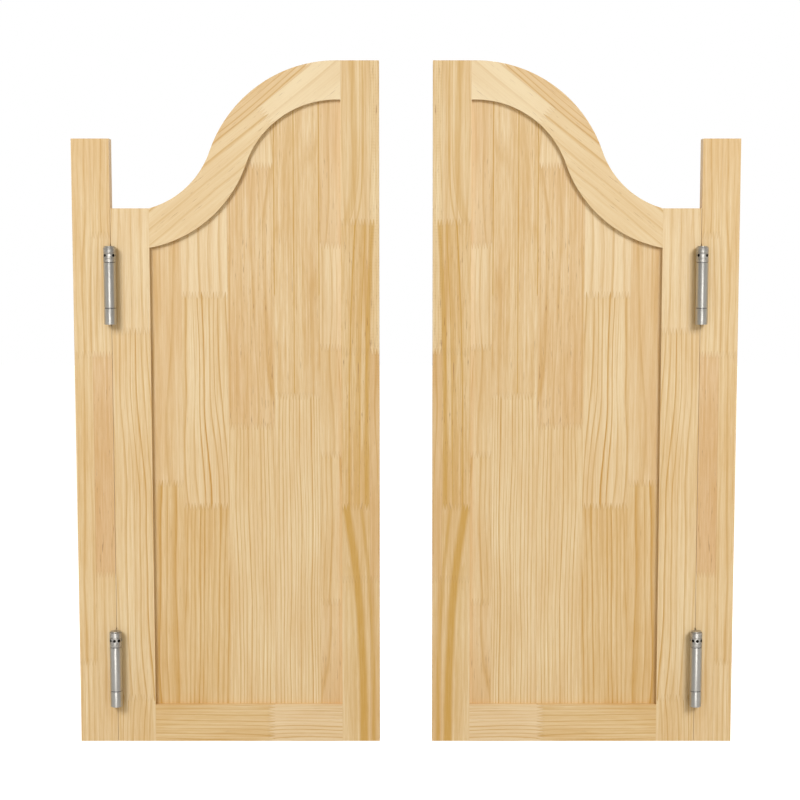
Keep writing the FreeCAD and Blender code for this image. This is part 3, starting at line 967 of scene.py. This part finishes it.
def studioWorld():
    # white to the eye; steel sees white behind the doors and a soft grey room before them
    world = bpy.data.worlds.new("studio")
    scene.world = world
    world.use_nodes = True
    nodes = Nodes(world.node_tree)
    seen, glossy, through = (nodes.add("ShaderNodeLightPath", output=f"Is {ray} Ray")
                             for ray in ("Camera", "Glossy", "Transmission"))
    towards = nodes.split(nodes.add("ShaderNodeTexCoord", output="Generated"))
    place, half, depth = studio["flag"]
    flag = nodes.clamp(1 - abs(abs(towards[0]) - place) / half) * depth
    mirrored = (1 - flag) * studio["room"]
    mirrored = mirrored + nodes.clamp((towards[1] + 0.3) * 2) * (1 - mirrored)
    lit = nodes.mixColor(nodes.clamp(glossy + through), studio["ambient"] + (1,), mirrored)
    nodes.feed(world.node_tree.nodes["Background"].inputs["Color"], nodes.mixColor(seen, lit, (1, 1, 1, 1)))


def studioLamp(name, place, aim, size, power, lit=(), color=(1, 1, 1)):
    # a soft box; where pieces are named, it lights only those
    lamp = bpy.data.lights.new(name, "AREA")
    lamp.shape = "RECTANGLE"
    lamp.size, lamp.size_y = size
    lamp.energy = power
    lamp.color = color
    holder = bpy.data.objects.new(name, lamp)
    holder.location = place
    holder.rotation_euler = (Vector(aim) - Vector(place)).to_track_quat("-Z", "Y").to_euler()
    holder.visible_camera = False
    scene.collection.objects.link(holder)
    if lit:
        reached = bpy.data.collections.new(f"{name} lights")
        for piece in lit:
            reached.objects.link(piece)
        holder.light_linking.receiver_collection = reached


floor = studioFloor()
studioWorld()
for side, sign in sides.items():
    pieces = made[side]
    steel = [piece for piece in pieces if "steel" in piece.active_material.name]
    boards = [piece for piece in pieces if piece not in steel]
    x, y, z = studio["leafMiddle"]
    reach, forward, height = studio["keyPlace"]
    studioLamp(f"{side}_key", (sign * (x + reach), forward, height), (sign * x, y, z), studio["keySize"],
               studio["key"], boards + [floor], studio["keyColor"])
    hingeLine = Vector((sign * hinge["seam"] * mm, 0, studio["hingeHeight"]))
    for lamp in ("strip", "glow"):
        angle = radians(studio[f"{lamp}Angle"])
        away = Vector((sign * sin(angle), -cos(angle), 0)) * studio["hingeAway"]
        size = studio[f"{lamp}Size"]
        studioLamp(f"{side}_{lamp}", hingeLine + away, hingeLine, size, studio[lamp], steel)
studioLamp("back_soft_box", studio["backPlace"], studio["backAim"], studio["keySize"], studio["back"],
           color=studio["keyColor"])

view = {
    "lens": 72.43,
    "sensor": 36,
    "shift": -0.00744,
    "place": (0, -2.1192, 0.6481),
    "tilt": 84.888,
}
camera = bpy.data.cameras.new("camera")
camera.lens = view["lens"]
camera.sensor_width = view["sensor"]
camera.shift_x = view["shift"]
cameraHolder = bpy.data.objects.new("camera", camera)
cameraHolder.location = view["place"]
cameraHolder.rotation_euler = (radians(view["tilt"]), 0, 0)
scene.collection.objects.link(cameraHolder)
scene.camera = cameraHolder
scene.view_settings.view_transform = "Standard"
print("studio")
